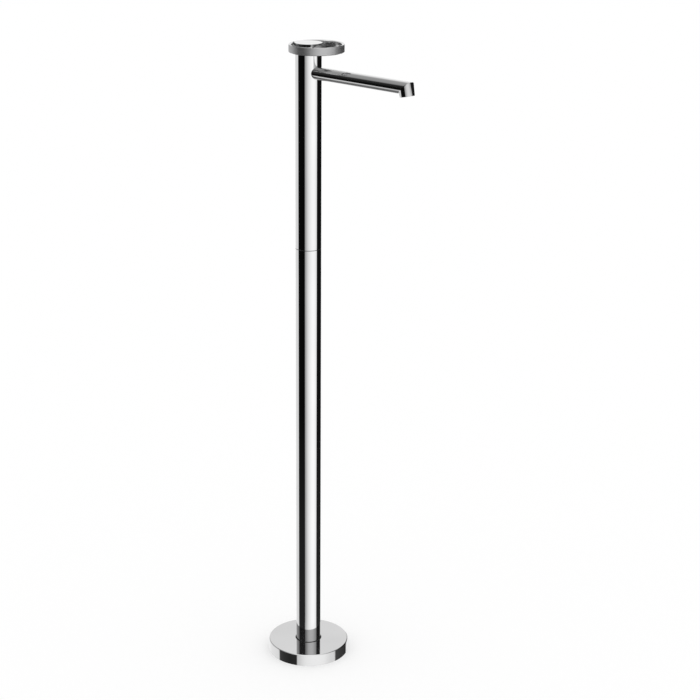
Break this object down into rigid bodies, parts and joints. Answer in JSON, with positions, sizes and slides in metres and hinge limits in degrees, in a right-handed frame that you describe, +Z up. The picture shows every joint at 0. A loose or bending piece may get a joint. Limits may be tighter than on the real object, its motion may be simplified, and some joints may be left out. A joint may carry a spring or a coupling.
{
  "type": "floor-standing basin mixer",
  "caption": "Slim chromed floor-standing basin mixer: round column on a flat cover, straight bar spout with a leaning outlet, and an open ring handle that turns and lifts.",
  "frame": {"origin": "on the finished floor, on the column's axis, at the centre of the floor plate's underside", "axes": "+Z up along the column; +X the way the spout points; +Y to the left when looking along +X"},
  "size_m": [0.296, 0.14, 1.085],
  "materials": {
    "chrome": "mirror-polished chrome plate on brass",
    "satin_chrome": "satin chrome with fine grooves along the band",
    "rubber": "matt black rubber",
    "brass": "bare machined brass",
    "copper": "drawn copper tube",
    "galvanised": "galvanised steel plate",
    "steel": "plain stainless steel",
    "white_plastic": "moulded white plastic",
    "grey_plastic": "moulded grey plastic",
    "ceramic": "lapped white ceramic"
  },
  "bodies": {
    "stand": {"floor_plate": "galvanised", "column_socket": "brass", "socket_screws": "steel", "column_grub_screws": "steel", "floor_cover": "chrome", "cover_seal": "rubber", "lower_column": "chrome", "joint_sleeve": "brass", "joint_o_rings": "rubber", "parting_gasket": "rubber", "upper_column": "chrome", "top_collar": "chrome", "hot_inlet_tail": "brass", "cold_inlet_tail": "brass", "inlet_filters": "steel", "hot_tube": "copper", "cold_tube": "copper", "lower_tube_guide": "white_plastic", "middle_tube_guide": "white_plastic", "tube_o_rings": "rubber", "tube_retainer": "steel", "retainer_screws": "steel", "valve_body": "brass", "body_o_rings": "rubber", "cartridge_housing": "white_plastic", "housing_o_ring": "rubber", "cartridge_base": "white_plastic", "cartridge_seals": "rubber", "fixed_ceramic_disc": "ceramic", "cartridge_nut": "brass", "spout_nipple": "brass", "nipple_o_rings": "rubber", "spout": "chrome", "spout_grub_screw": "steel", "aerator_housing": "steel", "aerator_insert": "white_plastic", "aerator_seal": "rubber"},
    "turning_carrier": {"lever_carrier": "grey_plastic", "lever_pin": "steel"},
    "ceramic_slider": {"disc_slider": "grey_plastic", "moving_ceramic_disc": "ceramic"},
    "handle": {"lever_stem": "steel", "handle_disc": "chrome", "handle_ring": "satin_chrome", "handle_screw": "steel", "screw_plug": "satin_chrome"}
  },
  "joints": [
    {"name": "temperature_turn", "type": "hinge", "parent": "stand", "child": "turning_carrier", "pos_m": [0, 0, 1.0605], "axis": [0, 0, 1], "range_deg": [-45, 45]},
    {"name": "flow_lift", "type": "hinge", "parent": "turning_carrier", "child": "handle", "pos_m": [0, 0, 1.0605], "axis": [0, -1, 0], "range_deg": [0, 18]},
    {"name": "disc_slide", "type": "slide", "parent": "turning_carrier", "child": "ceramic_slider", "axis": [1, 0, 0], "range_m": [0, 0.0047]}
  ],
  "couplings": [
    {"joint": "disc_slide", "follows": "flow_lift", "m_per_rad": 0.0148}
  ]
}
